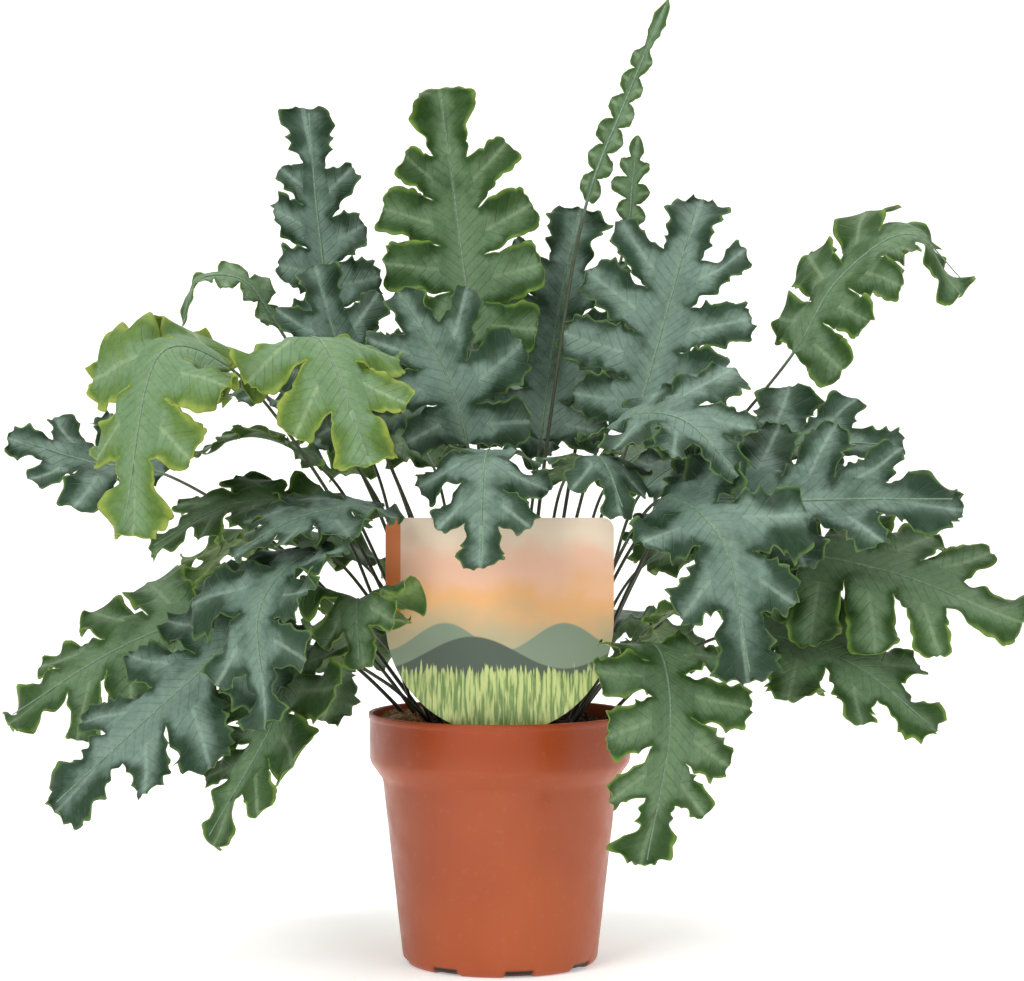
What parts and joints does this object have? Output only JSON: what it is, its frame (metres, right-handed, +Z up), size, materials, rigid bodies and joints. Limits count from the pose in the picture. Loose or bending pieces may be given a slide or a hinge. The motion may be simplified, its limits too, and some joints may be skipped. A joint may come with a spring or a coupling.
{
  "type": "potted fern",
  "caption": "Blue-green fern with wavy, deeply cut fronds on wiry stipes, a furry rootstock and dark soil in a terracotta-coloured nursery pot with a stick-in plant label.",
  "frame": {"origin": "centre of the pot's flat underside, on the surface it stands on", "axes": "+Z up through the pot; -Y is the front, the side the label faces; +X is to the right as seen from the front"},
  "size_m": [0.4617, 0.3087, 0.4394],
  "materials": {
    "pot": "satin terracotta-coloured plastic",
    "soil": "rough dark peat",
    "rootstock": "furry golden-brown scales",
    "label": "printed plastic card",
    "leaf_blue": "waxy blue-green leaf",
    "leaf_green": "satin green leaf",
    "leaf_yellow": "satin yellow-green young leaf"
  },
  "bodies": {
    "root": {"pot": "pot", "soil": "soil", "rootstock": "rootstock", "label": "label", "frond_01": "leaf_blue", "frond_02": "leaf_green", "frond_03": "leaf_blue", "frond_04": "leaf_blue", "frond_05": "leaf_green", "frond_06": "leaf_blue", "frond_07": "leaf_blue", "frond_08": "leaf_green", "frond_09": "leaf_green", "frond_10": "leaf_green", "frond_11": "leaf_blue", "frond_12": "leaf_green", "frond_13": "leaf_blue", "frond_14": "leaf_blue", "frond_15": "leaf_blue", "frond_16": "leaf_blue", "frond_17": "leaf_blue", "frond_18": "leaf_yellow", "frond_19": "leaf_yellow", "frond_20": "leaf_blue", "frond_21": "leaf_green", "frond_22": "leaf_green", "frond_23": "leaf_blue", "frond_24": "leaf_green", "frond_25": "leaf_blue", "frond_26": "leaf_green", "frond_27": "leaf_blue", "frond_28": "leaf_green", "frond_29": "leaf_green", "frond_30": "leaf_green", "frond_31": "leaf_green", "frond_32": "leaf_blue", "frond_33": "leaf_green", "frond_34": "leaf_blue", "frond_35": "leaf_green", "frond_36": "leaf_blue", "frond_37": "leaf_green", "frond_38": "leaf_blue", "frond_39": "leaf_blue", "frond_40": "leaf_green", "frond_41": "leaf_green"}
  },
  "joints": []
}
